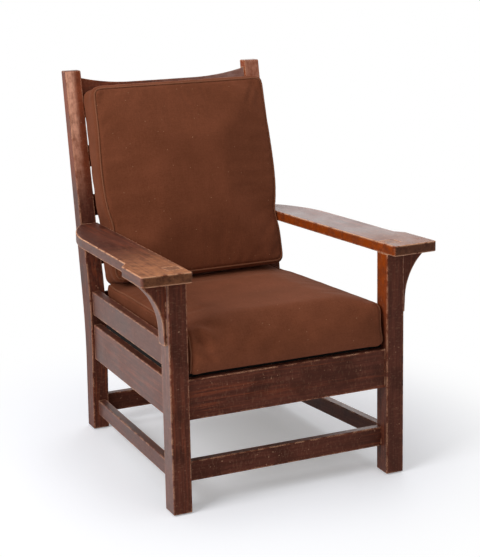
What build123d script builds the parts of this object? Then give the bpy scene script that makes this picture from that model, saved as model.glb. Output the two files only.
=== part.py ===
from build123d import *
import os
from math import asin, cos, degrees, radians, sin, sqrt, tan

# A mission armchair of stained oak with two loose cushions.
#
# The wooden frame is made square, and stands leaning back a little because its rear
# posts are cut shorter than its front posts. Every size below is measured in that
# square frame: across (X, plus to the right as seen from the front), depth (from the
# front faces of the front posts towards the back) and height (up along the front posts).
# Lengths are millimetres, angles are degrees.

os.makedirs("parts", exist_ok=True)

# Stance
lean = 3.3
glide_thickness = 3.0
glide_diameter = 25.0
nail_diameter = 3.0
nail_length = 16.0

# Overall sizes
front_width = 667.0
rear_width = 599.0
frame_depth = 682.0
arm_height = 623.0
back_height = 1040.0

# Front posts
post_width = 51.0
post_easing = 2.2
foot_easing = 2.0
through_tenon = 38.0
tenon_bevel = 0.8

# Rear posts, seen from the side
rear_post_width = 46.0
rear_foot_depth = 45.0
rear_knee_height = 322.0
rear_knee_forward = 9.0
rear_bend_radius = 1100.0
back_rake = 8.5
post_top_depth = 31.0
depth_over_arm = 44.0
arm_ledge = 10.0
front_knee_drop = 198.0
front_knee_depth = 65.5
front_bend_radius = 800.0
bend_reach_share = 0.8
post_top_easing = 4.0

# Arms
arm_thickness = 27.0
arm_inner_half = 282.6
arm_toe = 2.65
arm_width = 112.0
arm_wing = 18.5
arm_wing_length = 140.0
arm_jog_length = 28.5
arm_overhang = 37.5
arm_curve_length = 177.0
arm_corner_radius = 8.0
arm_inner_corner_radius = 4.0
arm_jog_radius = 10.0
arm_easing = 2.5
arm_dowel_diameter = 8.0
arm_dowel_length = 48.0
arm_dowel_spacing = 22.0

# Corbels
corbel_set_back = 9.0
corbel_thickness = 35.0
corbel_height = 160.0
corbel_reach = 66.5
corbel_nose = 6.0
corbel_stem = 9.5
corbel_toe = 8.0
corbel_stem_height = 32.0
corbel_easing = 1.2

# Rails and stretchers
rail_thickness = 22.0
rail_recess = 8.0
rail_easing = 1.5
front_rail_bottom = 238.0
front_rail_height = 104.0
apron_bottom = 244.5
apron_height = 100.0
side_rail_stop = 60.0
rear_rail_set_back = 4.0
upper_rail_bottom = 372.0
upper_rail_height = 66.0
upper_rail_thickness = 24.0
front_stretcher_bottom = 72.0
front_stretcher_height = 52.0
front_stretcher_set_back = 27.0
side_stretcher_bottom = 77.5
side_stretcher_height = 42.0
side_stretcher_recess = 15.0
rear_stretcher_bottom = 77.0
rear_stretcher_height = 52.0
rear_stretcher_set_back = 29.0

# Tenons
tenon_thickness = 10.0
tenon_shoulder = 9.0
side_tenon_length = 23.0
cross_tenon_length = 16.5
joint_play = 0.15
end_play = 1.0
overrun = 12.0

# Ladder back: bowed slats under a scooped crest rail
slat_set_back = 11.0
slat_thickness = 14.0
slat_bow = 18.0
slat_height = 60.0
slat_count = 4
lowest_slat_height = 371.0
slat_tenon_length = 16.0
slat_easing = 2.0
crest_drop = 20.8
crest_middle_height = 93.0
crest_rise = 18.0
crest_straight_half = 100.0

# Seat frame, webbing and deck cloth, on cleats inside the rails
seat_frame_thickness = 22.0
seat_frame_member = 44.0
seat_frame_gap = 2.0
seat_frame_easing = 1.5
cloth_thickness = 1.5
cloth_skirt = 20.0
webbing_thickness = 1.5
webbing_width = 50.0
webbing_along_count = 6
webbing_across_count = 6
webbing_edge = 4.0
deck_rise = 8.0
cleat_size = 20.0
cleat_end_gap = 9.0
cleat_screw_inset = 40.0
cleat_screw_count = 3
screw_diameter = 4.0
screw_head_diameter = 8.0
screw_length = 34.0
screw_head_angle = 45.0
seat_screw_across = 190.0
frame_dowel_diameter = 8.0
frame_dowel_length = 36.0
frame_dowel_inset = 12.0

# Cushions
cushion_gap = 0.3
seat_cushion_corner = 14.0
back_cushion_corner = 22.0
cushion_pull = 3.5
crown_reach = 210.0
crown_step_count = 6
cushion_roll = 7.0
cushion_roll_inset = 5.0
seat_cushion_front = 5.0
seat_cushion_stop = 72.0
seat_cushion_front_half = 279.5
seat_cushion_back_half = 258.0
seat_cushion_boxing = 112.0
seat_cushion_crown = 18.0
seat_cushion_front_roll = 18.0
back_cushion_lean = 13.3
back_cushion_height = 537.0
back_cushion_boxing = 104.0
back_cushion_rear_half = 248.0
back_cushion_front_half = 252.0
back_cushion_crown = 21.0
back_cushion_rear_crown = 12.0
back_cushion_foot_inset = 58.0
back_cushion_foot_rise = 108.5

# Places worked out from the sizes above
arm_bottom = arm_height - arm_thickness
front_knee_height = arm_bottom - front_knee_drop
rear_rail_face = frame_depth - side_rail_stop
arm_curve_start = frame_depth - arm_curve_length
inner_half = front_width / 2 - post_width
rear_inner_half = rear_width / 2 - rear_post_width
side_taper = (front_width - rear_width) / 2 / (rear_rail_face - post_width)
deck_top = front_rail_bottom + front_rail_height + deck_rise
seat_frame_top = deck_top - cloth_thickness - 2 * webbing_thickness
cleat_top = seat_frame_top - seat_frame_thickness
screw_head_depth = (screw_head_diameter - screw_diameter) / 2 / tan(radians(screw_head_angle))
front_cleat_reach = inner_half - cleat_end_gap
rear_cleat_reach = rear_inner_half - cleat_end_gap
side_cleat_start = post_width + cleat_end_gap
side_cleat_end = rear_rail_face - cleat_end_gap


def back_edge(height):
    """Depth of the straight back edge of a rear post, above its knee."""
    return frame_depth - rear_knee_forward + (height - rear_knee_height) * tan(radians(back_rake))


upper_slope = back_edge(back_height) - post_top_depth - back_edge(arm_height) + depth_over_arm
upper_slope /= back_height - arm_height
ledge_back = back_edge(arm_height) - depth_over_arm - arm_thickness * upper_slope
ledge_front = ledge_back - arm_ledge

# The ladder back: its rake, where its slats stand, and how far they bow
rake_length = sqrt(1 + upper_slope ** 2)
slat_depth = back_edge(arm_height) - depth_over_arm + slat_set_back * rake_length
lowest_slat = (lowest_slat_height - arm_height) * rake_length
crest_middle_top = (back_height - arm_height) * rake_length - crest_drop - crest_rise
crest_bottom = crest_middle_top - crest_middle_height
slat_pitch = (crest_bottom - lowest_slat) / slat_count
bow_radius = (rear_inner_half ** 2 + slat_bow ** 2) / (2 * slat_bow)


def reach(depth, height):
    """How far back a point of the leaning frame stands, along the floor."""
    return depth * cos(radians(lean)) + height * sin(radians(lean))


# The chair's whole depth: from the eased front edges of the arms to the tops of the rear
# posts or the middle of the crest rail, whichever stands further back
toe_turn = cos(radians(arm_toe)) + sin(radians(arm_toe))
arm_nose = -arm_overhang + arm_inner_corner_radius * (toe_turn - 1) + arm_easing
front_reach = reach(arm_nose, arm_bottom + arm_easing) - arm_easing
eased_height = back_height - post_top_easing
post_reach = reach(
    back_edge(eased_height) - post_top_easing / cos(radians(back_rake)), eased_height) + post_top_easing
crest_back = slat_bow + slat_thickness
crest_reach = reach(
    slat_depth + (crest_middle_top * upper_slope + crest_back) / rake_length,
    arm_height + (crest_middle_top - crest_back * upper_slope) / rake_length)
middle_depth = (front_reach + max(post_reach, crest_reach)) / 2

frame = Plane(
    origin=(0, -middle_depth, glide_thickness),
    x_dir=(1, 0, 0),
    z_dir=(0, sin(radians(lean)), cos(radians(lean))),
)
floor = Plane.XY.offset(glide_thickness)
up = Axis(frame.origin, frame.z_dir)


def level(height):
    """A plan view: local x is across, local y is depth."""
    return frame.offset(height)


side_view = Plane(origin=frame.origin, x_dir=frame.y_dir, z_dir=frame.x_dir)


def facing(depth):
    """A front view: local x is across, local y is height, and it faces the front."""
    origin = frame.from_local_coords((0, depth, 0))
    return Plane(origin=origin, x_dir=frame.x_dir, z_dir=-frame.y_dir)


def floor_depth(depth):
    """Distance along the floor of the sole under this depth of the leaning frame."""
    return depth / cos(radians(lean)) - middle_depth


def write(piece, name):
    """Labels a finished piece and writes it as one node."""
    piece.part.label = name
    export_step(piece.part, f"parts/{name}.step")


def write_pair(piece, name):
    """Writes a right-hand piece and its mirror image."""
    with BuildPart() as other:
        mirror(piece.part, about=Plane.YZ)
    write(other, f"{name}_left")
    write(piece, f"{name}_right")


def bend_within(start, corner, end, radius):
    """The radius of a bend at a corner, or less where its two legs are too short for it."""
    before = Vector(*start) - Vector(*corner)
    after = Vector(*end) - Vector(*corner)
    leg = bend_reach_share * min(before.length, after.length)
    return min(radius, leg * tan(radians(before.get_angle(after)) / 2))


def rear_post_outline():
    """Side view of a rear post: upright at the foot, then bent back to a thin top."""
    back_foot = (frame_depth, 0)
    back_knee = (frame_depth - rear_knee_forward, rear_knee_height)
    back_top = (back_edge(back_height), back_height)
    front_top = (back_edge(back_height) - post_top_depth, back_height)
    front_knee = (back_edge(front_knee_height) - front_knee_depth, front_knee_height)
    front_foot = (frame_depth - rear_foot_depth, 0)
    back_bend = bend_within(back_foot, back_knee, back_top, rear_bend_radius)
    front_bend = bend_within((ledge_front, arm_bottom), front_knee, front_foot, front_bend_radius)
    with BuildSketch(side_view) as outline:
        with BuildLine():
            FilletPolyline(back_foot, back_knee, back_top, radius=back_bend)
            Polyline(back_top, front_top, (ledge_back, arm_bottom), (ledge_front, arm_bottom))
            FilletPolyline((ledge_front, arm_bottom), front_knee, front_foot, radius=front_bend)
            Line(front_foot, back_foot)
        make_face()
    return outline.sketch


def side_line(depth, recess):
    """Half width to a face that is set in by recess from the outer faces of the posts."""
    return front_width / 2 - recess - (depth - post_width) * side_taper


def side_bar(height, outer, thickness, start, end):
    """Plan of a straight bar along the right side, its outer face set in by outer."""
    corners = [
        (side_line(start, outer), start),
        (side_line(end, outer), end),
        (side_line(end, outer + thickness), end),
        (side_line(start, outer + thickness), start),
    ]
    with BuildSketch(level(height)) as plan:
        with BuildLine():
            Polyline(*corners, close=True)
        make_face()
    return plan.sketch


def side_tenons(bottom, height, outer, thickness, play):
    """Plan and height of the bar that makes both tenons of a member of the right side."""
    cheek = (thickness - tenon_thickness) / 2
    start = post_width - side_tenon_length - (end_play if play else 0)
    end = rear_rail_face + side_tenon_length + (end_play if play else 0)
    foot = bottom + tenon_shoulder - play
    bar = side_bar(foot, outer + cheek - play, tenon_thickness + 2 * play, start, end)
    return bar, height - 2 * tenon_shoulder + 2 * play


def cross_tenons(bottom, height, depth, thickness, half, play):
    """Plan and height of the bar that makes both tenons of a member across the chair."""
    reach = half + cross_tenon_length + (end_play if play else 0)
    with BuildSketch(level(bottom + tenon_shoulder - play)) as plan:
        with Locations((0, depth + thickness / 2)):
            Rectangle(2 * reach, tenon_thickness + 2 * play)
    return plan.sketch, height - 2 * tenon_shoulder + 2 * play


# Each member of a side: name, bottom, height, recess of its outer face, thickness
side_members = (
    ("upper_side_rail", upper_rail_bottom, upper_rail_height, rail_recess, upper_rail_thickness),
    ("side_apron", apron_bottom, apron_height, rail_recess, rail_thickness),
    ("side_stretcher", side_stretcher_bottom, side_stretcher_height, side_stretcher_recess,
     rail_thickness),
)
# Each member across the front and the back: name, bottom, height, depth of its front face
front_members = (
    ("front_rail", front_rail_bottom, front_rail_height, rail_recess),
    ("front_stretcher", front_stretcher_bottom, front_stretcher_height, front_stretcher_set_back),
)
rear_members = (
    ("rear_rail", apron_bottom, apron_height, rear_rail_face + rear_rail_set_back),
    ("rear_stretcher", rear_stretcher_bottom, rear_stretcher_height,
     rear_rail_face + rear_stretcher_set_back),
)

# The plane of the ladder back, through the front faces of the slats at their ends
back_face = Plane(
    origin=frame.from_local_coords((0, slat_depth, arm_height)),
    x_dir=frame.x_dir,
    z_dir=frame.z_dir * (upper_slope / rake_length) - frame.y_dir * (1 / rake_length),
)


def slat_level(rise):
    """A plan view square to the ladder back: local x is across, local y is backwards."""
    origin = back_face.from_local_coords((0, rise, 0))
    return Plane(origin=origin, x_dir=frame.x_dir, z_dir=back_face.y_dir)


def bowed_bar(rise, play):
    """Plan of a slat or crest rail with its tenons, bowed away from the sitter."""
    half = rear_inner_half + slat_tenon_length + (end_play if play else 0)
    middle = slat_bow - bow_radius
    near = bow_radius - play
    far = bow_radius + slat_thickness + play
    near_end = middle + sqrt(near ** 2 - half ** 2)
    far_end = middle + sqrt(far ** 2 - half ** 2)
    with BuildSketch(slat_level(rise - play)) as plan:
        with BuildLine():
            ThreePointArc((-half, near_end), (0, middle + near), (half, near_end))
            Line((half, near_end), (half, far_end))
            ThreePointArc((half, far_end), (0, middle + far), (-half, far_end))
            Line((-half, far_end), (-half, near_end))
        make_face()
    return plan.sketch


def foot_hole(across, depth):
    """Plan of the hole for a glide's nail, on the sole of a post."""
    with BuildSketch(floor) as plan:
        with Locations((across, floor_depth(depth))):
            Circle(nail_diameter / 2 + joint_play)
    return plan.sketch


front_foot_spot = (front_width / 2 - post_width / 2, post_width / 2)
rear_foot_spot = (rear_width / 2 - rear_post_width / 2, frame_depth - rear_foot_depth / 2)


def spaced(first, last, count):
    """Evenly spaced positions from first to last."""
    return [first + (last - first) * step / (count - 1) for step in range(count)]


def front_screw(across):
    """Where a screw enters the front cleat, pointing into the front rail."""
    depth = rail_recess + rail_thickness + cleat_size
    origin = frame.from_local_coords((across, depth, cleat_top - cleat_size / 2))
    return Plane(origin=origin, x_dir=frame.x_dir, z_dir=-frame.y_dir)


def rear_screw(across):
    """Where a screw enters the rear cleat, pointing into the rear rail."""
    depth = rear_rail_face + rear_rail_set_back - cleat_size
    origin = frame.from_local_coords((across, depth, cleat_top - cleat_size / 2))
    return Plane(origin=origin, x_dir=frame.x_dir, z_dir=frame.y_dir)


def side_screw(depth):
    """Where a screw enters the right-hand cleat, pointing square into the apron."""
    across = side_line(depth, rail_recess + rail_thickness + cleat_size)
    origin = frame.from_local_coords((across, depth, cleat_top - cleat_size / 2))
    return Plane(origin=origin, x_dir=frame.z_dir, z_dir=frame.x_dir + frame.y_dir * side_taper)


def seat_screw(across, depth):
    """Where a screw goes up through a cleat into the seat frame."""
    origin = frame.from_local_coords((across, depth, cleat_top - cleat_size))
    return Plane(origin=origin, x_dir=frame.x_dir, z_dir=frame.z_dir)


front_screws = [front_screw(across) for across in spaced(
    cleat_screw_inset - front_cleat_reach, front_cleat_reach - cleat_screw_inset, cleat_screw_count)]
rear_screws = [rear_screw(across) for across in spaced(
    cleat_screw_inset - rear_cleat_reach, rear_cleat_reach - cleat_screw_inset, cleat_screw_count)]
side_screws = [side_screw(depth) for depth in spaced(
    side_cleat_start + cleat_screw_inset, side_cleat_end - cleat_screw_inset, cleat_screw_count)]
front_seat_depth = rail_recess + rail_thickness + cleat_size / 2
rear_seat_depth = rear_rail_face + rear_rail_set_back - cleat_size / 2
seat_screws = [seat_screw(side * seat_screw_across, depth)
               for side in (-1, 1) for depth in (front_seat_depth, rear_seat_depth)]


def drive(plane, play, mode):
    """A countersunk screw, or with play the hole it is driven into."""
    with BuildSketch(plane) as head:
        Circle(screw_head_diameter / 2 + play)
    with BuildSketch(plane) as shank:
        Circle(screw_diameter / 2 + play)
    extrude(head.sketch, amount=screw_head_depth, taper=screw_head_angle, mode=mode)
    extrude(shank.sketch, amount=screw_length + play, mode=mode)


def arm_dowel(across, play, mode):
    """A dowel that runs back from an arm's end into the rear post, or the hole for it."""
    reach = arm_dowel_length / 2 + (end_play if play else 0)
    origin = frame.from_local_coords((across, ledge_back - reach, arm_bottom + arm_thickness / 2))
    with BuildSketch(Plane(origin=origin, x_dir=frame.x_dir, z_dir=frame.y_dir)) as end:
        Circle(arm_dowel_diameter / 2 + play)
    extrude(end.sketch, amount=2 * reach, mode=mode)


arm_dowel_middle = (rear_inner_half + rear_width / 2) / 2
arm_dowel_spots = spaced(
    arm_dowel_middle - arm_dowel_spacing / 2, arm_dowel_middle + arm_dowel_spacing / 2, 2)

# Front posts, with a tenon that comes up through the arm
with BuildPart() as front_post:
    with BuildSketch(level(-overrun)):
        with Locations(front_foot_spot):
            Rectangle(post_width, post_width)
    extrude(amount=arm_bottom + overrun)
    split(bisect_by=floor)
    fillet(front_post.edges().filter_by(up), radius=post_easing)
    fillet(front_post.faces().sort_by(Axis.Z)[0].edges(), radius=foot_easing)
    with BuildSketch(level(arm_bottom)):
        with Locations(front_foot_spot):
            Rectangle(through_tenon, through_tenon)
    extrude(amount=arm_thickness)
    chamfer(front_post.faces().sort_by(up)[-1].edges(), length=tenon_bevel)
    for name, bottom, height, recess, thickness in side_members:
        bar, bar_height = side_tenons(bottom, height, recess, thickness, joint_play)
        extrude(bar, amount=bar_height, mode=Mode.SUBTRACT)
    for name, bottom, height, depth in front_members:
        bar, bar_height = cross_tenons(bottom, height, depth, rail_thickness, inner_half, joint_play)
        extrude(bar, amount=bar_height, mode=Mode.SUBTRACT)
    extrude(foot_hole(*front_foot_spot), amount=nail_length + end_play, mode=Mode.SUBTRACT)
write_pair(front_post, "front_post")

# Rear posts, from the floor to the top of the back in one piece
with BuildPart() as rear_post:
    extrude(rear_post_outline(), amount=rear_width / 2)
    extrude(rear_post_outline(), amount=rear_inner_half, mode=Mode.SUBTRACT)
    fillet(rear_post.edges().filter_by(Axis.X).sort_by(up)[-2:], radius=post_top_easing)
    split(bisect_by=floor)
    cheeks = rear_post.faces().filter_by(Axis.X).edges()
    fillet(cheeks - rear_post.faces().sort_by(Axis.Z)[0].edges(), radius=post_easing)
    fillet(rear_post.faces().sort_by(Axis.Z)[0].edges(), radius=foot_easing)
    for name, bottom, height, recess, thickness in side_members:
        bar, bar_height = side_tenons(bottom, height, recess, thickness, joint_play)
        extrude(bar, amount=bar_height, mode=Mode.SUBTRACT)
    for name, bottom, height, depth in rear_members:
        bar, bar_height = cross_tenons(bottom, height, depth, rail_thickness, rear_inner_half, joint_play)
        extrude(bar, amount=bar_height, mode=Mode.SUBTRACT)
    for step in range(slat_count):
        slot = bowed_bar(lowest_slat + step * slat_pitch, joint_play)
        extrude(slot, amount=slat_height + 2 * joint_play, mode=Mode.SUBTRACT)
    slot = bowed_bar(crest_bottom, joint_play)
    extrude(slot, amount=crest_middle_height + crest_rise + 2 * joint_play, mode=Mode.SUBTRACT)
    for across in arm_dowel_spots:
        arm_dowel(across, joint_play, Mode.SUBTRACT)
    extrude(foot_hole(*rear_foot_spot), amount=nail_length + end_play, mode=Mode.SUBTRACT)
write_pair(rear_post, "rear_post")

# Arms: a plan drawn along the inner edge, which turns in towards the back
arm_plan = Plane(
    origin=frame.from_local_coords((arm_inner_half, -arm_overhang, arm_bottom)),
    x_dir=frame.x_dir * cos(radians(arm_toe)) + frame.y_dir * sin(radians(arm_toe)),
    z_dir=frame.z_dir,
)
butt_depth = ledge_back + arm_thickness * upper_slope
arm_tail = arm_plan.to_local_coords(frame.from_local_coords((rear_width / 2, butt_depth, arm_bottom)))
butt = Plane(
    origin=frame.from_local_coords((0, ledge_back - joint_play, arm_bottom)),
    x_dir=frame.x_dir,
    z_dir=frame.y_dir - frame.z_dir * upper_slope,
)
with BuildPart() as arm:
    with BuildSketch(arm_plan) as plan:
        with BuildLine():
            wing = arm_width + arm_wing
            jog_end = arm_wing_length + arm_jog_length
            Polyline((0, 0), (wing, 0), (wing, arm_wing_length), (arm_width, jog_end),
                     (arm_width, arm_curve_start))
            TangentArc((arm_width, arm_curve_start), (arm_tail.X, arm_tail.Y), tangent=(0, 1))
            Polyline((arm_tail.X, arm_tail.Y), (arm_tail.X - overrun, arm_tail.Y + overrun),
                     (0, arm_tail.Y + overrun), (0, 0))
        make_face()
        fillet(plan.vertices().sort_by(Axis.Y)[2:4], radius=arm_jog_radius)
        fillet(plan.vertices().sort_by(Axis.Y)[:2].sort_by(Axis.X)[-1], radius=arm_corner_radius)
        fillet(plan.vertices().sort_by(Axis.Y)[:2].sort_by(Axis.X)[0], radius=arm_inner_corner_radius)
    extrude(amount=arm_thickness)
    fillet(arm.faces().sort_by(up)[-1].edges(), radius=arm_easing)
    fillet(arm.faces().sort_by(up)[0].edges(), radius=arm_easing)
    split(bisect_by=butt, keep=Keep.BOTTOM)
    with BuildSketch(level(arm_bottom)):
        with Locations(front_foot_spot):
            Rectangle(through_tenon + 2 * joint_play, through_tenon + 2 * joint_play)
    extrude(amount=arm_thickness, mode=Mode.SUBTRACT)
    mouth = arm.faces().sort_by(up)[-1].inner_wires()[0].edges()
    chamfer(mouth, length=tenon_bevel)
    for across in arm_dowel_spots:
        arm_dowel(across, joint_play, Mode.SUBTRACT)
write_pair(arm, "arm")

# Dowels that hold the arms to the rear posts
with BuildPart() as arm_dowels:
    for across in arm_dowel_spots:
        arm_dowel(across, 0, Mode.ADD)
    mirror(about=Plane.YZ)
write(arm_dowels, "arm_dowels")

# Corbels under the arms, on the outer faces of the front posts
corbel_foot = arm_bottom - corbel_height
post_face = front_width / 2
with BuildPart() as corbel:
    with BuildSketch(facing(corbel_set_back + corbel_thickness)):
        with BuildLine():
            stem = (post_face + corbel_stem, corbel_foot + corbel_stem_height)
            nose = (post_face + corbel_reach, arm_bottom - corbel_nose)
            Polyline((post_face, arm_bottom), (post_face, corbel_foot),
                     (post_face + corbel_toe, corbel_foot), stem)
            TangentArc(stem, nose, tangent=(0, 1))
            Polyline(nose, (post_face + corbel_reach, arm_bottom), (post_face, arm_bottom))
        make_face()
    extrude(amount=corbel_thickness)
    fillet(corbel.edges().filter_by(GeomType.CIRCLE), radius=corbel_easing)
write_pair(corbel, "corbel")


def behind_rear_posts():
    """Side view of everything behind the front faces of the rear posts, below the arms."""
    front_knee = (back_edge(front_knee_height) - front_knee_depth, front_knee_height)
    foot = (frame_depth - rear_foot_depth, 0)
    far = frame_depth + rear_foot_depth
    with BuildSketch(side_view) as region:
        with BuildLine():
            FilletPolyline((ledge_front, arm_bottom), front_knee, foot, radius=front_bend_radius)
            Polyline(foot, (far, 0), (far, arm_bottom), (ledge_front, arm_bottom))
        make_face()
    return region.sketch


# Rails and stretchers of the two sides, tenoned into the posts
for name, bottom, height, recess, thickness in side_members:
    with BuildPart() as side_rail:
        extrude(side_bar(bottom, recess, thickness, post_width, frame_depth), amount=height)
        fillet(side_rail.edges().sort_by(SortBy.LENGTH)[-4:], radius=rail_easing)
        extrude(behind_rear_posts(), amount=front_width, mode=Mode.SUBTRACT)
        bar, bar_height = side_tenons(bottom, height, recess, thickness, 0)
        extrude(bar, amount=bar_height)
        if name == "side_apron":
            for plane in side_screws:
                drive(plane, joint_play, Mode.SUBTRACT)
    write_pair(side_rail, name)

# Rails and stretchers across the front and the back
for members, half, planes in ((front_members, inner_half, front_screws),
                              (rear_members, rear_inner_half, rear_screws)):
    for name, bottom, height, depth in members:
        with BuildPart() as cross_rail:
            with BuildSketch(level(bottom)):
                with Locations((0, depth + rail_thickness / 2)):
                    Rectangle(2 * half, rail_thickness)
            extrude(amount=height)
            fillet(cross_rail.edges().filter_by(Axis.X), radius=rail_easing)
            bar, bar_height = cross_tenons(bottom, height, depth, rail_thickness, half, 0)
            extrude(bar, amount=bar_height)
            if name in ("front_rail", "rear_rail"):
                for plane in planes:
                    drive(plane, joint_play, Mode.SUBTRACT)
        write(cross_rail, name)

# Slats of the back, counted from the lowest: an eased section swung about the bow's centre
slat_end = rear_inner_half + slat_tenon_length
swing = asin(slat_end / (bow_radius + slat_thickness))
for step in range(slat_count):
    base = slat_level(lowest_slat + step * slat_pitch)
    centre = base.from_local_coords((0, slat_bow - bow_radius, 0))
    outwards = base.x_dir * sin(swing) + base.y_dir * cos(swing)
    with BuildPart() as back_slat:
        with BuildSketch(Plane(origin=centre, x_dir=outwards, z_dir=outwards.cross(base.z_dir))):
            with Locations((bow_radius + slat_thickness / 2, slat_height / 2)):
                RectangleRounded(slat_thickness, slat_height, radius=slat_easing)
        revolve(axis=Axis(centre, base.z_dir), revolution_arc=degrees(2 * swing))
    write(back_slat, f"back_slat_{step + 1}")

# Crest rail, its top edge lower in the middle
with BuildPart() as crest_rail:
    extrude(bowed_bar(crest_bottom, 0), amount=crest_middle_height + crest_rise)
    with BuildSketch(back_face):
        with BuildLine():
            end_top = crest_middle_top + crest_rise
            Polyline((-crest_straight_half, crest_middle_top), (crest_straight_half, crest_middle_top))
            TangentArc((crest_straight_half, crest_middle_top), (rear_inner_half, end_top), tangent=(1, 0))
            Polyline((rear_inner_half, end_top), (slat_end, end_top), (slat_end, crest_bottom),
                     (-slat_end, crest_bottom), (-slat_end, end_top), (-rear_inner_half, end_top))
            TangentArc((-crest_straight_half, crest_middle_top), (-rear_inner_half, end_top), tangent=(-1, 0))
        make_face()
    extrude(amount=frame_depth, both=True, mode=Mode.INTERSECT)
write(crest_rail, "crest_rail")

# Seat frame: four sticks butted together, the side sticks wider apart than the posts
stick_front = rail_recess + rail_thickness + seat_frame_gap
stick_front_inner = stick_front + seat_frame_member
stick_rear = rear_rail_face + rear_rail_set_back - seat_frame_gap
stick_rear_inner = stick_rear - seat_frame_member
front_stick_half = inner_half - seat_frame_gap
rear_stick_half = rear_inner_half - seat_frame_gap
side_stick_recess = rail_recess + rail_thickness + seat_frame_gap
frame_dowel_spots = (
    (front_stick_half - frame_dowel_inset, stick_front_inner),
    (rear_stick_half - frame_dowel_inset, stick_rear_inner),
)


def frame_dowel(spot, play, mode):
    """A dowel between two sticks of the seat frame, or the hole for it."""
    across, depth = spot
    reach = frame_dowel_length / 2 + (end_play if play else 0)
    origin = frame.from_local_coords((across, depth - reach, cleat_top + seat_frame_thickness / 2))
    with BuildSketch(Plane(origin=origin, x_dir=frame.x_dir, z_dir=frame.y_dir)) as end:
        Circle(frame_dowel_diameter / 2 + play)
    extrude(end.sketch, amount=2 * reach, mode=mode)


with BuildPart() as seat_frame_side:
    plan = side_bar(cleat_top, side_stick_recess, seat_frame_member, stick_front_inner, stick_rear_inner)
    extrude(plan, amount=seat_frame_thickness)
    fillet(seat_frame_side.edges().sort_by(SortBy.LENGTH)[-4:], radius=seat_frame_easing)
    for spot in frame_dowel_spots:
        frame_dowel(spot, joint_play, Mode.SUBTRACT)
write_pair(seat_frame_side, "seat_frame")

for name, start, half, spot in (
        ("seat_frame_front", stick_front, front_stick_half, frame_dowel_spots[0]),
        ("seat_frame_rear", stick_rear_inner, rear_stick_half, frame_dowel_spots[1])):
    with BuildPart() as cross_stick:
        with BuildSketch(level(cleat_top)):
            with Locations((0, start + seat_frame_member / 2)):
                Rectangle(2 * half, seat_frame_member)
        extrude(amount=seat_frame_thickness)
        fillet(cross_stick.edges().filter_by(Axis.X), radius=seat_frame_easing)
        frame_dowel(spot, joint_play, Mode.SUBTRACT)
        frame_dowel((-spot[0], spot[1]), joint_play, Mode.SUBTRACT)
        for plane in seat_screws:
            drive(plane, joint_play, Mode.SUBTRACT)
    write(cross_stick, name)

with BuildPart() as frame_dowels:
    for spot in frame_dowel_spots:
        frame_dowel(spot, 0, Mode.ADD)
    mirror(about=Plane.YZ)
write(frame_dowels, "frame_dowels")

# Webbing: straps across, straps along over them with their ends folded double
strap_reach = rear_stick_half - webbing_edge - webbing_width / 2
along_start = stick_front + webbing_edge
along_end = stick_rear - webbing_edge
across_start = stick_front_inner + webbing_edge + webbing_width / 2
across_end = stick_rear_inner - webbing_edge - webbing_width / 2
fold = seat_frame_member - 2 * webbing_edge
with BuildPart() as seat_webbing:
    with BuildSketch(level(seat_frame_top)):
        for depth in spaced(across_start, across_end, webbing_across_count):
            half = side_line(depth + webbing_width / 2, side_stick_recess) - webbing_edge
            with Locations((0, depth)):
                Rectangle(2 * half, webbing_width)
        for across in spaced(-strap_reach, strap_reach, webbing_along_count):
            with Locations((across, along_start + fold / 2), (across, along_end - fold / 2)):
                Rectangle(webbing_width, fold)
    extrude(amount=webbing_thickness)
    with BuildSketch(level(seat_frame_top + webbing_thickness)):
        for across in spaced(-strap_reach, strap_reach, webbing_along_count):
            with Locations((across, (along_start + along_end) / 2)):
                Rectangle(webbing_width, along_end - along_start)
    extrude(amount=webbing_thickness)
write(seat_webbing, "seat_webbing")


def deck_outline(height, grow):
    """Plan of the seat frame's outline, grown by the thickness of what is wrapped round it."""
    with BuildSketch(level(height)) as plan:
        with Locations((0, (stick_front + stick_front_inner) / 2)):
            Rectangle(2 * (front_stick_half + grow), seat_frame_member + 2 * grow)
        with Locations((0, (stick_rear + stick_rear_inner) / 2)):
            Rectangle(2 * (rear_stick_half + grow), seat_frame_member + 2 * grow)
        with BuildLine():
            near = stick_front_inner - grow
            far = stick_rear_inner + grow
            near_half = side_line(near, side_stick_recess) + grow
            far_half = side_line(far, side_stick_recess) + grow
            Polyline((-near_half, near), (near_half, near), (far_half, far), (-far_half, far), close=True)
        make_face()
    return plan.sketch


# Deck cloth: pulled tight over the webbing and down the sides of the seat frame
with BuildPart() as seat_deck_cloth:
    cloth_foot = seat_frame_top - cloth_skirt
    extrude(deck_outline(cloth_foot, cloth_thickness), amount=deck_top - cloth_foot)
    extrude(deck_outline(cloth_foot, 0), amount=deck_top - cloth_thickness - cloth_foot, mode=Mode.SUBTRACT)
write(seat_deck_cloth, "seat_deck_cloth")

# Cleats that carry the seat frame
with BuildPart() as cleat_side:
    plan = side_bar(cleat_top - cleat_size, rail_recess + rail_thickness, cleat_size,
                    side_cleat_start, side_cleat_end)
    extrude(plan, amount=cleat_size)
    for plane in side_screws:
        drive(plane, joint_play, Mode.SUBTRACT)
write_pair(cleat_side, "cleat")

for name, middle, reach, planes in (
        ("cleat_front", front_seat_depth, front_cleat_reach, front_screws),
        ("cleat_rear", rear_seat_depth, rear_cleat_reach, rear_screws)):
    with BuildPart() as cleat:
        with BuildSketch(level(cleat_top - cleat_size)):
            with Locations((0, middle)):
                Rectangle(2 * reach, cleat_size)
        extrude(amount=cleat_size)
        for plane in planes + seat_screws:
            drive(plane, joint_play, Mode.SUBTRACT)
    write(cleat, name)

# Screws of the cleats and the seat frame, all alike
with BuildPart() as screws:
    for plane in side_screws:
        drive(plane, 0, Mode.ADD)
    mirror(about=Plane.YZ)
    for plane in front_screws + rear_screws + seat_screws:
        drive(plane, 0, Mode.ADD)
write(screws, "screws")

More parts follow.
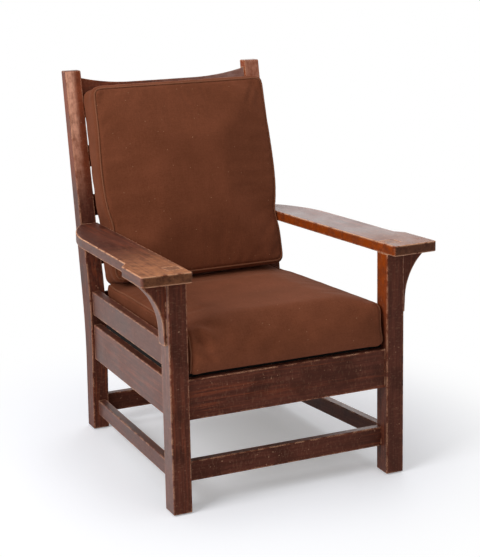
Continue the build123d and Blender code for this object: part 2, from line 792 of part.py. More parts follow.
# Foot glides: a pad and a nail under each post
with BuildPart() as foot_glides:
    for across, depth in (front_foot_spot, rear_foot_spot):
        with BuildSketch(Plane.XY):
            with Locations((across, floor_depth(depth))):
                Circle(glide_diameter / 2)
        extrude(amount=glide_thickness)
        with BuildSketch(Plane.XY):
            with Locations((across, floor_depth(depth))):
                Circle(nail_diameter / 2)
        extrude(amount=glide_thickness + nail_length)
    mirror(about=Plane.YZ)
write(foot_glides, "foot_glides")


def panel(plane, inset, corner, near, far, near_half, far_half):
    """Outline of a cushion on one plane: a rounded trapezoid, drawn in by inset."""
    corners = [
        (inset - near_half, near + inset),
        (near_half - inset, near + inset),
        (far_half - inset, far - inset),
        (inset - far_half, far - inset),
    ]
    with BuildSketch(plane) as outline:
        with BuildLine():
            FilletPolyline(*corners, radius=corner, close=True)
        make_face()
    return outline.sketch


# The crown as rise share and inset pairs: a dome that flattens towards its middle
crown_steps = [(1 - (1 - share) ** 2, cushion_roll_inset + crown_reach * share)
               for share in spaced(0, 1, crown_step_count)]


def boxing_steps(boxing):
    """The boxing as rise and inset pairs: rolled seams at its edges, drawn in halfway up."""
    return (
        (0, cushion_roll_inset),
        (cushion_roll, 0),
        (boxing / 2, cushion_pull),
        (boxing - cushion_roll, 0),
        (boxing, cushion_roll_inset),
    )


# Seat cushion, its top edge rolled back at the front
seat_base = level(deck_top + cushion_gap)
seat_sizes = (frame_depth - seat_cushion_stop, seat_cushion_front_half, seat_cushion_back_half)


def seat_front(rise):
    """Depth of the cushion's front at a height above its underside."""
    share = max(0, rise - seat_cushion_boxing / 2) / (seat_cushion_boxing / 2)
    return seat_cushion_front + seat_cushion_front_roll * share ** 3


with BuildPart() as seat_cushion:
    loft([panel(seat_base.offset(rise), inset, seat_cushion_corner, seat_front(rise), *seat_sizes)
          for rise, inset in boxing_steps(seat_cushion_boxing)])
    loft([panel(seat_base.offset(seat_cushion_boxing + seat_cushion_crown * rise),
                inset, seat_cushion_corner, seat_front(seat_cushion_boxing), *seat_sizes)
          for rise, inset in crown_steps])
write(seat_cushion, "seat_cushion")

# Back cushion, leaning on the slats: local x is across, y is up the cushion, z is forwards
back_base = Plane(
    origin=frame.from_local_coords(
        (0, frame_depth - back_cushion_foot_inset, deck_top + back_cushion_foot_rise)),
    x_dir=frame.x_dir,
    z_dir=frame.z_dir * sin(radians(back_cushion_lean)) - frame.y_dir * cos(radians(back_cushion_lean)),
)


def back_panel(rise, inset):
    """Outline of the back cushion at a distance forwards from its rear seam."""
    share = max(0, min(1, rise / back_cushion_boxing))
    half = back_cushion_rear_half + (back_cushion_front_half - back_cushion_rear_half) * share
    return panel(back_base.offset(rise), inset, back_cushion_corner, 0, back_cushion_height, half, half)


with BuildPart() as back_cushion:
    loft([back_panel(rise, inset) for rise, inset in boxing_steps(back_cushion_boxing)])
    loft([back_panel(back_cushion_boxing + back_cushion_crown * rise, inset)
          for rise, inset in crown_steps])
    loft([back_panel(-back_cushion_rear_crown * rise, inset) for rise, inset in crown_steps])
write(back_cushion, "back_cushion")
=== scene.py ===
"""Looks of a mission armchair: stained oak, two loose wool cushions and a plain pale stage."""

from collections import namedtuple
from math import cos, pi, radians, sin

import bmesh
import bpy
from mathutils import Matrix, Vector
from mathutils.bvhtree import BVHTree
from mathutils.kdtree import KDTree


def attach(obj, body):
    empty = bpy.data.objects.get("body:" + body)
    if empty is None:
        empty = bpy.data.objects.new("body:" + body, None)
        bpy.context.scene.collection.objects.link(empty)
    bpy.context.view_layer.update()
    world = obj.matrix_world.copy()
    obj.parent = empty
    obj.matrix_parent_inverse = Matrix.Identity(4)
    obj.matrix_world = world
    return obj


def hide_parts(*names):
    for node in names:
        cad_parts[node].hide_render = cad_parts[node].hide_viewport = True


bl_info = {
    "name": "Mission armchair",
    "version": (1, 0, 0),
    "blender": (4, 5, 0),
    "location": "View3D > Sidebar > Armchair",
    "description": "Dresses the armchair's solids in stained oak and wool",
    "category": "Object",
}

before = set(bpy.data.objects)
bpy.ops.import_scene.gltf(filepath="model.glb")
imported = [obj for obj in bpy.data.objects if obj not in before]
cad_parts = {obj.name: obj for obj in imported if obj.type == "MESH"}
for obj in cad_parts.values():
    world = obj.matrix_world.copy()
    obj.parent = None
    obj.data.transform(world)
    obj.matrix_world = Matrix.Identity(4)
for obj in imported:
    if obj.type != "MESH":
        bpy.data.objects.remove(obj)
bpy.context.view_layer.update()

MM = 0.001

# The chair leans back on its shorter rear feet: across, back and up along its front posts
LEAN = radians(3.3)
BACK = Vector((0, cos(LEAN), -sin(LEAN)))
UP = Vector((0, sin(LEAN), cos(LEAN)))
CHAIR = Matrix.Translation((0, -419.15 * MM, 3 * MM)) @ Matrix(
    ((1, 0, 0, 0), (0, BACK.y, UP.y, 0), (0, BACK.z, UP.z, 0), (0, 0, 0, 1)))

# The seat cushion's own space: across, back from its front edge, up from the deck cloth
SEAT = CHAIR @ Matrix.Translation((0, 5 * MM, 350.3 * MM))
SEAT_DEPTH = 605 * MM
SEAT_HALVES = (279.5 * MM, 258 * MM)
SEAT_BOXING = 112 * MM

# The back cushion's own space: across, up from its foot, forwards from its rear seam
BACK_LEAN = radians(13.3)
REST = CHAIR @ Matrix.Translation((0, 624 * MM, 458.5 * MM)) @ Matrix((
    (1, 0, 0, 0), (0, sin(BACK_LEAN), -cos(BACK_LEAN), 0),
    (0, cos(BACK_LEAN), sin(BACK_LEAN), 0), (0, 0, 0, 1)))
REST_HEIGHT = 537 * MM
REST_HALVES = (248 * MM, 252 * MM)
REST_BOXING = 104 * MM
REST_CORNER = 22 * MM

# The share of its crown that a cover keeps before the filling raises it again
DEFLATED = 0.4

# The colour inputs of a Mix node
UNDER, OVER = 6, 7

# A wave texture's bands repeat every so many metres when its scale is 1
WAVE = 0.314

# Where wood is rubbed, and where a painted highlight or painted reflection lies: stretches along
# axes, how much, on faces towards which axis, and the colour
Patch = namedtuple("Patch", "stretches share facing film")


def linear(code):
    """Linear red, green, blue and alpha of an sRGB hex colour."""
    shares = [int(code[i:i + 2], 16) / 255 for i in (1, 3, 5)]
    return tuple(s / 12.92 if s <= 0.04045 else ((s + 0.055) / 1.055) ** 2.4
                 for s in shares) + (1,)


def colour(name, description, code):
    """A colour that a user may change."""
    return bpy.props.FloatVectorProperty(
        name=name, description=description, subtype="COLOR", size=4, min=0, max=1,
        default=linear(code))


def length(name, description, value):
    """A length in metres that a user may change."""
    return bpy.props.FloatProperty(
        name=name, description=description, subtype="DISTANCE", unit="LENGTH", min=0,
        default=value)


def power(name, description, value):
    """A lamp's power in watts that a user may change."""
    return bpy.props.FloatProperty(
        name=name, description=description, subtype="POWER", unit="POWER", min=0, default=value)


def strength(name, description, value):
    """A plain number that a user may change."""
    return bpy.props.FloatProperty(name=name, description=description, min=0, default=value)


class ArmchairOak(bpy.types.PropertyGroup):
    """Colours and sizes of the stained oak."""
    dark: colour("Stain in the dips", "Darkest colour of the stain", "#2B1713")
    mid: colour("Stain", "Colour of most of the stained oak", "#5F352A")
    copper: colour("Faded stain", "Colour where light and hands have thinned the stain", "#8A452B")
    # Partly rubbed stain and partly painted bounce light on the inner faces
    warm: colour("Rubbed stain", "Colour on the inner faces, which clothes rub", "#9A420C")
    worn: colour("Worn edge", "Colour of bare oak along worn edges", "#D6A482")
    rubbed: colour("Rubbed wood", "Colour where arms have rubbed the stain away", "#C08058")
    # Partly rubbed wood and partly a painted highlight from the gloss on the rear posts
    polish_and_highlight: colour("Polished wood", "Colour where the rear posts are rubbed bright", "#E0A58A")
    # A painted sheen: a pale grey-pink that stands in for the gloss reflecting the pale
    # surroundings on outward faces
    painted_sheen: colour("Bloomed finish", "Colour where the outer faces have bleached", "#A58A83")
    end: colour("End grain", "Colour of pores and end grain", "#2A1813")
    gleam: colour("Gleam", "Tint of the shellac's gloss", "#8C4E30")
    streak: length("Streak width", "Distance across one streak of the grain", 6 * MM)
    pore: length("Pore width", "Distance across one line of pores, coarser than in oak", 1.8 * MM)
    fleck: length("Ray fleck width", "Distance across one ray fleck", 11 * MM)
    edge: length("Wear width", "How far wear reaches in from an edge", 8 * MM)


class ArmchairWool(bpy.types.PropertyGroup):
    """Colours and sizes of the cushions' cover."""
    wool: colour("Wool", "Colour of the felted wool", "#7C442C")
    shade: colour("Wool in the hollows", "Colour between the threads", "#683720")
    lint: colour("Lint", "Colour of lint specks", "#B58566")
    nap: colour("Nap", "Tint of the soft sheen on the nap", "#C08A6C")
    thread: length("Thread spacing", "Distance between threads, coarser than in wool", 2.2 * MM)
    piping: length("Piping radius", "Half the width of the piping", 2.3 * MM)
    groove: length("Seam depth", "How far the cover is drawn in along its seams", 3.6 * MM)
    cell: length("Cell size", "Distance between the cover's points", 5.5 * MM)
    swell: length("Most swell", "How far the filling may push the cover out", 24 * MM)
    pressure: strength("Filling", "How hard the filling pushes the cover out", 4.0)


class ArmchairSeatSupport(bpy.types.PropertyGroup):
    """Colours of what lies under the cushions."""
    stick: colour("Seat frame", "Colour of the bare seat frame", "#B08A5C")
    dowel: colour("Dowels", "Colour of the beech dowels", "#C49C6C")
    jute: colour("Webbing", "Colour of the jute webbing", "#A58A5E")
    cambric: colour("Deck cloth", "Colour of the black cambric", "#110F0E")
    zinc: colour("Screws", "Colour of zinc", "#B9BBBC")
    glide: colour("Glides", "Colour of the nylon glides", "#2A2725")


class ArmchairStage(bpy.types.PropertyGroup):
    """Floor and lamps."""
    floor: colour("Floor", "Colour of the floor", "#EFF1F7")
    fill: strength("Fill", "Strength of the light from all round", 0.28)
    top: power("Top lamp", "Power of the lamp above", 27)
    side: power("Side lamp", "Power of the lamp at the left", 66)
    front: power("Front lamp", "Power of the lamp in front", 5)
    rear: power("Rear lamp", "Power of the lamp behind", 13)


def put(tree, kind, inputs=None, stops=None, **settings):
    """Adds one node with its settings. An input takes a value, an output, or a node, which stands
    for its first live output. Stops are a ramp's places and grey levels."""
    node = tree.nodes.new("ShaderNode" + kind)
    for name, value in settings.items():
        setattr(node, name, value)
    if stops:
        ramp = node.color_ramp.elements
        for spare in list(ramp)[1:]:
            ramp.remove(spare)
        for place, (at, level) in enumerate(stops):
            stop = ramp[0] if place == 0 else ramp.new(at)
            stop.position = at
            stop.color = (level, level, level, 1)
    for socket, value in (inputs or {}).items():
        if isinstance(value, bpy.types.Node):
            value = next(output for output in value.outputs if output.enabled)
        if isinstance(value, bpy.types.NodeSocket):
            tree.links.new(value, node.inputs[socket])
        else:
            node.inputs[socket].default_value = value
    return node


def material(name):
    """A new material and its node tree, with nothing in it."""
    made = bpy.data.materials.new(name)
    made.use_nodes = True
    made.node_tree.nodes.clear()
    return made, made.node_tree


def assign(made, *nodes):
    """Gives a material to CAD nodes."""
    for node in nodes:
        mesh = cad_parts[node].data
        mesh.materials.clear()
        mesh.materials.append(made)


def pattern(tree, place, spans, **more):
    """Noise on a place, with the size of its patches in metres along each axis."""
    drawn = put(tree, "Mapping", {"Vector": place, "Scale": [1 / span for span in spans]})
    return put(tree, "TexNoise", {"Vector": drawn, "Scale": 1.0, **more})


def dyed(shade, times):
    """A colour made so many times as bright."""
    return tuple(min(1, part * times) for part in shade[:3]) + (1,)


def oak(name, along, turn=0, warmth=0.5, faded=0.2, painted_sheen=0.0, wear=0.8, shine=0.5, gloss=0.42,
        rubbed=None, eased=0.0):
    """Fumed and stained quarter-sawn oak with a rubbed shellac: dark brown, blotchy and reddish in
    places, fine dark lines of pores along the grain, a satin gloss, and bare tan wood where edges,
    arms and post tops have worn. Outward faces carry a pale painted sheen, and inner faces a warm
    colour that is partly rubbed stain and partly painted bounce light."""
    look = bpy.context.scene.armchair_oak
    made, tree = material(name)
    place = put(tree, "TexCoord").outputs["Object"]
    upright = (LEAN, 0, radians(turn))
    turned = put(tree, "Mapping", {"Vector": place, "Rotation": upright})

    def grain(across, down, **more):
        """Noise drawn out along the grain."""
        spans = [down if axis == along else across for axis in "XYZ"]
        return pattern(tree, turned, spans, **more)

    def share(*factors):
        """The product of numbers, nodes and patterns. A pattern comes with two stops of a ramp, or
        with two values between which the share climbs smoothly from 0 to 1."""
        product = None
        for factor in factors:
            if isinstance(factor, tuple) and isinstance(factor[1], tuple):
                factor = put(tree, "ValToRGB", {"Fac": factor[0]}, stops=factor[1:])
            elif isinstance(factor, tuple):
                value, start, stop = factor
                factor = put(tree, "MapRange", {
                    "Value": value, "From Min": start, "From Max": stop},
                    interpolation_type="SMOOTHSTEP")
            product = factor if product is None else put(
                tree, "Math", {0: product, 1: factor}, operation="MULTIPLY", use_clamp=True)
        return product

    boards = grain(70 * MM, 500 * MM, Detail=2.0)
    streak = grain(look.streak, 190 * MM, Detail=4.0, Roughness=0.62)
    pores = share((grain(look.pore, 26 * MM, Detail=2.0), (0.36, 1), (0.47, 0)))
    flecks = grain(look.fleck, look.fleck * 0.45, Detail=1.0, Distortion=0.6)
    blotch = pattern(tree, place, (70 * MM,) * 3, Detail=4.0)
    chafe = pattern(tree, place, (24 * MM,) * 3, Detail=5.0, Roughness=0.65)
    knocks = pattern(tree, place, (6 * MM,) * 3, Detail=1.0)

    solid = put(tree, "NewGeometry").outputs
    facing = put(tree, "SeparateXYZ", {0: solid["Normal"]}).outputs
    spot = put(tree, "SeparateXYZ", {0: place}).outputs
    # Inner faces are those that face the chair's middle; clothes rub them, and their warm colour is
    # also partly painted bounce light
    side = put(tree, "Math", {0: spot["X"]}, operation="SIGN")
    outward = put(tree, "Math", {0: side, 1: facing["X"]}, operation="MULTIPLY")
    inward = share(outward, -1.0)
    up = put(tree, "Math", {0: facing["Z"]}, operation="ABSOLUTE")

    # Worn edges: where the rounded normal leaves the flat one, broken up by chafing
    rounded = put(tree, "Bevel", {"Radius": look.edge}, samples=6)
    bend = put(tree, "VectorMath", {0: rounded, 1: solid["True Normal"]}, operation="DOT_PRODUCT")
    corner = share((chafe, (0.4, 0.1), (0.56, 1)), wear, (bend, 0.995, 0.86))
    # Eased edges of a flat board, which face neither up nor sideways, wear through first
    ease = share((chafe, (0.36, 0.3), (0.5, 1)), eased, (up, 0.12, 0.35), (up, 0.99, 0.94))
    rim = put(tree, "Math", {0: corner, 1: ease}, operation="MAXIMUM", use_clamp=True)

    # End grain: rings and pores seen end on, where the stain sank in deepest
    ends = put(tree, "Mapping", {"Vector": solid["Normal"], "Rotation": upright},
               vector_type="NORMAL")
    end = put(tree, "SeparateXYZ", {0: ends}).outputs[along]
    end = put(tree, "Math", {0: end}, operation="ABSOLUTE")
    end = share((end, (0.9, 0), (0.96, 0.7)))
    unworn = put(tree, "Math", {0: 1.0, 1: rim}, operation="SUBTRACT", use_clamp=True)

    layers = [
        # The stain, darker in the dips, and thinned on some boards' streaks and near the top
        (share((streak, (0.3, 0.5), (0.6, 1))), look.mid),
        (share((blotch, (0.34, 1), (0.5, 0)), 0.5), look.dark),
        (share((streak, (0.5, 0), (0.66, 0.6)), (boards, (0.44, 0), (0.6, 1))), look.copper),
        (share((spot["Z"], 0.6, 0.8), (blotch, (0.34, 0.5), (0.56, 1)), faded), look.copper),
        # Painted sheen on the outer faces, and above the seat a warm colour on the inner faces that
        # is partly rubbed stain and partly painted bounce light
        (share(outward, (chafe, (0.3, 0.7), (0.6, 1)), painted_sheen), look.painted_sheen),
        (share((spot["Z"], 0.28, 0.6), inward, (chafe, (0.36, 0.45), (0.56, 1)), warmth),
         look.warm),
        # What the wood itself shows
        (share((flecks, (0.56, 0), (0.66, 1)), 0.05), look.worn),
        (share(pores, 0.3), look.end),
        # Wear: the stain thins, then bare wood shows, and knocks leave pale nicks
        (share((rim, (0.1, 0), (0.5, 0.9))), look.copper),
        (share((rim, (0.35, 0), (0.8, 1))), look.worn),
        (share((knocks, (0.74, 0), (0.78, 1)), 0.4), look.worn),
        (share(end, unworn), look.end),
    ]
    bare = rim
    if rubbed:
        # A patch that arms and hands have rubbed down to the grain, half as much on its end; the
        # same patch lays a painted highlight on the rear posts and a painted reflection on the
        # crest rail
        flat = put(tree, "Math", {0: facing[rubbed.facing]}, operation="ABSOLUTE")
        flat = put(tree, "Math", {0: share((flat, (0.6, 0), (0.9, 1))), 1: share(end, 0.5)},
                   operation="MAXIMUM", use_clamp=True)
        scuffs = put(tree, "Math", {0: share(chafe, 0.6), 1: share(streak, 0.4)},
                     operation="ADD", use_clamp=True)
        patch = share(flat, rubbed.share, (scuffs, (0.36, 0.2), (0.58, 1)), *(
            (spot[axis], start, stop) for axis, start, stop in rubbed.stretches))
        layers.append((patch, rubbed.film))
        bare = put(tree, "Math", {0: rim, 1: patch}, operation="ADD", use_clamp=True)
    shade = look.dark
    for amount, film in layers:
        shade = put(tree, "Mix", {0: amount, UNDER: shade, OVER: film}, data_type="RGBA")

    dull = put(tree, "Math", {0: share(blotch, 0.6), 1: share(bare, 0.6)},
               operation="ADD", use_clamp=True)
    rough = put(tree, "MapRange", {"Value": dull, "From Min": 0.2, "From Max": 0.9,
                                   "To Min": gloss, "To Max": gloss + 0.25})
    relief = put(tree, "Math", {0: streak, 1: 0.35, 2: 0.5},
                 operation="MULTIPLY_ADD", use_clamp=True)
    relief = put(tree, "Math", {0: relief, 1: share(pores, 0.5)},
                 operation="SUBTRACT", use_clamp=True)
    bump = put(tree, "Bump", {"Height": relief, "Strength": 0.4, "Distance": 0.4 * MM})
    shader = put(tree, "BsdfPrincipled", {
        "Base Color": shade, "Roughness": rough, "Normal": bump, "IOR": 1.5,
        "Specular IOR Level": shine, "Specular Tint": look.gleam})
    put(tree, "OutputMaterial", {"Surface": shader})
    return made


def bare_wood(name, shade, along, gloss=0.7):
    """Planed wood with no finish: pale, dry and matt, with soft streaks along the grain."""
    made, tree = material(name)
    place = put(tree, "TexCoord").outputs["Object"]
    streak = pattern(tree, place, [170 * MM if axis == along else 4 * MM for axis in "XYZ"],
                     Detail=5.0)
    share = put(tree, "ValToRGB", {"Fac": streak}, stops=((0.35, 0.55), (0.65, 1)))
    mixed = put(tree, "Mix", {0: share, UNDER: dyed(shade, 0.45), OVER: shade}, data_type="RGBA")
    bump = put(tree, "Bump", {"Height": streak, "Strength": 0.4, "Distance": 0.4 * MM})
    shader = put(tree, "BsdfPrincipled", {
        "Base Color": mixed, "Roughness": gloss, "Normal": bump, "IOR": 1.5})
    put(tree, "OutputMaterial", {"Surface": shader})
    return made


def woven(name, shade, spacing, gap=0.35, rough=0.85):
    """Plain-woven cloth: two sets of threads that cross, with darker holes between them."""
    made, tree = material(name)
    place = put(tree, "TexCoord").outputs["Object"]
    turned = put(tree, "Mapping", {"Vector": place, "Rotation": (LEAN, 0, 0)})
    warp, weft = (put(tree, "TexWave", {
        "Vector": turned, "Scale": WAVE / spacing, "Distortion": 0.6, "Detail": 1.0},
        bands_direction=axis, wave_profile="SIN").outputs["Fac"] for axis in "XY")
    weave = put(tree, "Math", {0: warp, 1: weft}, operation="MULTIPLY")
    fuzz = pattern(tree, place, (16.7 * MM,) * 3, Detail=5.0)
    share = put(tree, "Math", {0: weave, 1: 1 - gap, 2: gap}, operation="MULTIPLY_ADD")
    share = put(tree, "Math", {0: share, 1: fuzz}, operation="MULTIPLY")
    # Doubled, because the fuzz is about a half
    share = put(tree, "Math", {0: share, 1: 2.0}, operation="MULTIPLY", use_clamp=True)
    mixed = put(tree, "Mix", {0: share, UNDER: dyed(shade, 0.3), OVER: shade}, data_type="RGBA")
    bump = put(tree, "Bump", {"Height": weave, "Strength": 0.6, "Distance": 0.4 * MM})
    shader = put(tree, "BsdfPrincipled", {
        "Base Color": mixed, "Roughness": rough, "Normal": bump, "Specular IOR Level": 0.2,
        "Sheen Weight": 0.05, "Sheen Roughness": 0.5})
    put(tree, "OutputMaterial", {"Surface": shader})
    return made


def felted_wool(name="felted wool", worn=0.0):
    """Felted wool: a soft nap over a fine weave, slightly uneven in colour, with specks of lint,
    and paler on its piping, partly where the nap has worn off and partly as a painted highlight."""
    if name in bpy.data.materials:
        return bpy.data.materials[name]
    look = bpy.context.scene.armchair_wool
    made, tree = material(name)
    place = put(tree, "TexCoord").outputs["Object"]
    turned = put(tree, "Mapping", {"Vector": place, "Rotation": (LEAN, 0, 0)})
    run = 30 * MM
    warp = pattern(tree, turned, (look.thread, run, run), Detail=2.0)
    weft = pattern(tree, turned, (run, look.thread, look.thread), Detail=2.0)
    nap = pattern(tree, turned, (4 * MM,) * 3, Detail=4.0, Roughness=0.75)
    tone = pattern(tree, turned, (90 * MM,) * 3, Detail=3.0)
    weave = put(tree, "Math", {0: warp, 1: weft}, operation="ADD")
    # Weave and tone are added to the nap by their weights, and the usual sums spread over 0 to 1
    total = nap
    for part, weight in ((weave, 0.3), (tone, 0.7)):
        total = put(tree, "Math", {0: part, 1: weight, 2: total}, operation="MULTIPLY_ADD")
    share = put(tree, "MapRange", {"Value": total, "From Min": 0.95, "From Max": 1.4})
    mixed = put(tree, "Mix", {0: share, UNDER: look.shade, OVER: look.wool}, data_type="RGBA")
    # The piping is paler: partly worn nap and partly a painted highlight
    if worn:
        mixed = put(tree, "Mix", {0: worn, UNDER: mixed, OVER: look.lint}, data_type="RGBA")

    # Lint: a speck of 1.2 mm in four of every ten cells of 16 mm
    cell, radius, often, cling = 16.13 * MM, 1.21 * MM, 0.4, 0.6
    cells = put(tree, "TexVoronoi", {"Vector": place, "Scale": 1 / cell, "Randomness": 1.0}).outputs
    near = put(tree, "Math", {0: cells["Distance"], 1: radius / cell}, operation="LESS_THAN")
    lot = put(tree, "SeparateColor", {0: cells["Color"]})
    speck = put(tree, "Math", {0: lot, 1: often}, operation="LESS_THAN")
    for factor in (near, cling):
        speck = put(tree, "Math", {0: speck, 1: factor}, operation="MULTIPLY")
    mixed = put(tree, "Mix", {0: speck, UNDER: mixed, OVER: look.lint}, data_type="RGBA")
    bump = put(tree, "Bump", {"Height": total, "Strength": 0.45, "Distance": 0.6 * MM})
    shader = put(tree, "BsdfPrincipled", {
        "Base Color": mixed, "Roughness": 0.92, "Normal": bump, "Specular IOR Level": 0.2,
        "Sheen Weight": 0.12, "Sheen Roughness": 0.45, "Sheen Tint": look.nap})
    put(tree, "OutputMaterial", {"Surface": shader})
    return made


def zinc_plate(name, shade):
    """Zinc-plated steel: bluish grey, softly bright, with a faint mottle from the plating bath."""
    made, tree = material(name)
    place = put(tree, "TexCoord").outputs["Object"]
    mottle = pattern(tree, place, (1.1 * MM,) * 3, Detail=3.0)
    mixed = put(tree, "Mix", {0: mottle, UNDER: dyed(shade, 0.6), OVER: shade}, data_type="RGBA")
    rough = put(tree, "MapRange", {"Value": mottle, "To Min": 0.25, "To Max": 0.5})
    shader = put(tree, "BsdfPrincipled", {
        "Base Color": mixed, "Roughness": rough, "Metallic": 1.0})
    put(tree, "OutputMaterial", {"Surface": shader})
    return made


def moulded_nylon(name, shade):
    """Moulded nylon: dark and dull, with a fine even grain from the mould and scuffs from the
    floor."""
    made, tree = material(name)
    place = put(tree, "TexCoord").outputs["Object"]
    scuff = pattern(tree, place, (3.3 * MM,) * 3, Detail=5.0)
    share = put(tree, "ValToRGB", {"Fac": scuff}, stops=((0.5, 0), (0.75, 0.8)))
    mixed = put(tree, "Mix", {0: share, UNDER: shade, OVER: dyed(shade, 2.4)}, data_type="RGBA")
    bump = put(tree, "Bump", {"Height": scuff, "Strength": 0.3, "Distance": 0.2 * MM})
    shader = put(tree, "BsdfPrincipled", {
        "Base Color": mixed, "Roughness": 0.55, "Normal": bump, "IOR": 1.53})
    put(tree, "OutputMaterial", {"Surface": shader})
    return made


def bell(distance):
    """A bell curve: 1 at 0, about a third at 1 and nothing past 3."""
    return 2.718 ** -(distance ** 2)


def clamped(value):
    """The value kept between 0 and 1."""
    return max(0, min(1, value))


def add(name, data):
    """A new object in the scene."""
    piece = bpy.data.objects.new(name, data)
    bpy.context.scene.collection.objects.link(piece)
    return piece


def evaluated(piece):
    """The mesh that a piece's modifiers give, or a curve's."""
    shown = piece.evaluated_get(bpy.context.evaluated_depsgraph_get())
    return bpy.data.meshes.new_from_object(shown)


def settled(piece):
    """Puts the shape that the modifiers give into the piece's own mesh, and takes them off."""
    shape = evaluated(piece)
    piece.modifiers.clear()
    piece.data = shape
    shape.name = piece.name


def rounded_panel(half, depth, inset, radius, steps=8):
    """Points round a cushion's panel, a rectangle with rounded corners, drawn in by inset."""
    corners = [Vector((-half + inset, inset)), Vector((half - inset, inset)),
               Vector((half - inset, depth - inset)), Vector((-half + inset, depth - inset))]
    points = []
    for place, corner in enumerate(corners):
        before = (corners[place - 1] - corner).normalized()
        after = (corners[(place + 1) % 4] - corner).normalized()
        reach = radius / abs((before - after).length / (before + after).length)
        start, end = corner + before * reach, corner + after * reach
        for step in range(steps + 1):
            share = step / steps
            points.append(start * (1 - share) ** 2 + corner * 2 * share * (1 - share)
                          + end * share ** 2)
    return points


def filled_in(points, gap=4 * MM):
    """The same closed path with its points evenly spaced."""
    filled = []
    for start, end in zip(points, points[1:] + points[:1]):
        count = max(1, round((end - start).length / gap))
        filled += [start.lerp(end, step / count) for step in range(count)]
    return filled


def inflate(piece, line, held):
    """Blows a cover up in a cloth simulation with its seams held."""
    look = bpy.context.scene.armchair_wool
    group = piece.vertex_groups.new(name="held")
    for vert in piece.data.vertices:
        # Held fully within 3 mm of a seam and not at all past 8 mm, or as the cushion says
        weight = max(0.0, min(1.0, 1.6 - line.find(vert.co)[2] / (5 * MM)), held(vert.co))
        if weight > 0:
            group.add([vert.index], weight, "REPLACE")
    start = [vert.co.copy() for vert in piece.data.vertices]
    cloth = piece.modifiers.new("filling", "CLOTH")
    for setting, value in (
            ("quality", 5), ("mass", 0.4), ("tension_stiffness", 18),
            ("compression_stiffness", 18), ("shear_stiffness", 8), ("bending_stiffness", 5),
            ("shrink_min", -0.012), ("use_pressure", True),
            ("uniform_pressure_force", look.pressure), ("vertex_group_mass", "held")):
        setattr(cloth.settings, setting, value)
    cloth.settings.effector_weights.gravity = 0
    cloth.collision_settings.use_collision = False
    for step in range(1, 21):
        bpy.context.scene.frame_set(step)
    settled(piece)
    bpy.context.scene.frame_set(1)
    for vert, first in zip(piece.data.vertices, start):
        move = vert.co - first
        if move.length > look.swell:
            vert.co = first + move.normalized() * look.swell


def stuffed(name, node, space, deflate, seams, held, settle):
    """A cushion's cover: the CAD cushion let down a little, remeshed, and blown up with its seams
    held. Deflate, held and settle work on points of the cushion's own space."""
    look = bpy.context.scene.armchair_wool
    inverse = space.inverted()
    cover = bmesh.new()
    cover.from_mesh(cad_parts[node].data)
    bmesh.ops.remove_doubles(cover, verts=cover.verts, dist=0.01 * MM)
    bmesh.ops.recalc_face_normals(cover, faces=cover.faces)
    for vert in cover.verts:
        vert.co = space @ deflate(inverse @ vert.co)
    mesh = bpy.data.meshes.new(name)
    cover.to_mesh(mesh)
    cover.free()
    piece = add(name, mesh)
    cells = piece.modifiers.new("cells", "REMESH")
    cells.mode = "VOXEL"
    cells.voxel_size = look.cell
    cells.use_smooth_shade = True
    settled(piece)
    line = KDTree(sum(len(seam) for seam in seams))
    for count, point in enumerate(point for seam in seams for point in seam):
        line.insert(point, count)
    line.balance()

    inflate(piece, line, lambda point: held(inverse @ point))
    for vert in piece.data.vertices:
        vert.co = space @ settle(inverse @ vert.co)

    shaped = bmesh.new()
    shaped.from_mesh(piece.data)
    # The panels are smoothed more than what lies along the seams
    panels = [vert for vert in shaped.verts if line.find(vert.co)[2] > 25 * MM]
    for verts, passes in ((shaped.verts, 4), (panels, 10)):
        for _ in range(passes):
            bmesh.ops.smooth_vert(shaped, verts=verts, factor=0.5, use_axis_x=True,
                                  use_axis_y=True, use_axis_z=True)
    shaped.normal_update()
    # The seams draw the cover in, over 9 mm to each side
    for vert in shaped.verts:
        near = line.find(vert.co)[2]
        if near < 14 * MM:
            vert.co -= vert.normal * look.groove * max(0.0, 1 - (near / (9 * MM)) ** 2)
    shaped.to_mesh(piece.data)
    shaped.free()
    for face in piece.data.polygons:
        face.use_smooth = True
    finer = piece.modifiers.new("smooth", "SUBSURF")
    finer.levels = finer.render_levels = 1
    piece.data.materials.append(felted_wool())
    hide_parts(node)
    return piece


def creased(piece, space, *creases):
    """Draws soft folds into a cover. Each has two points of the cushion's own space in metres, and
    its width and depth in millimetres."""
    for start, end, width, depth in creases:
        start, end = space @ Vector(start), space @ Vector(end)
        run = end - start
        shaped = bmesh.new()
        shaped.from_mesh(piece.data)
        shaped.normal_update()
        for vert in shaped.verts:
            share = (vert.co - start).dot(run) / run.length_squared
            away = (vert.co - start.lerp(end, share)).length / (width * MM)
            if -0.2 < share < 1.2 and away < 3:
                # A furrow that is deepest halfway along, with a low ridge on both sides
                furrow = bell(away) - 0.45 * bell(away - 1.6)
                vert.co -= vert.normal * depth * MM * sin(pi * clamped(share)) * furrow
        shaped.to_mesh(piece.data)
        shaped.free()


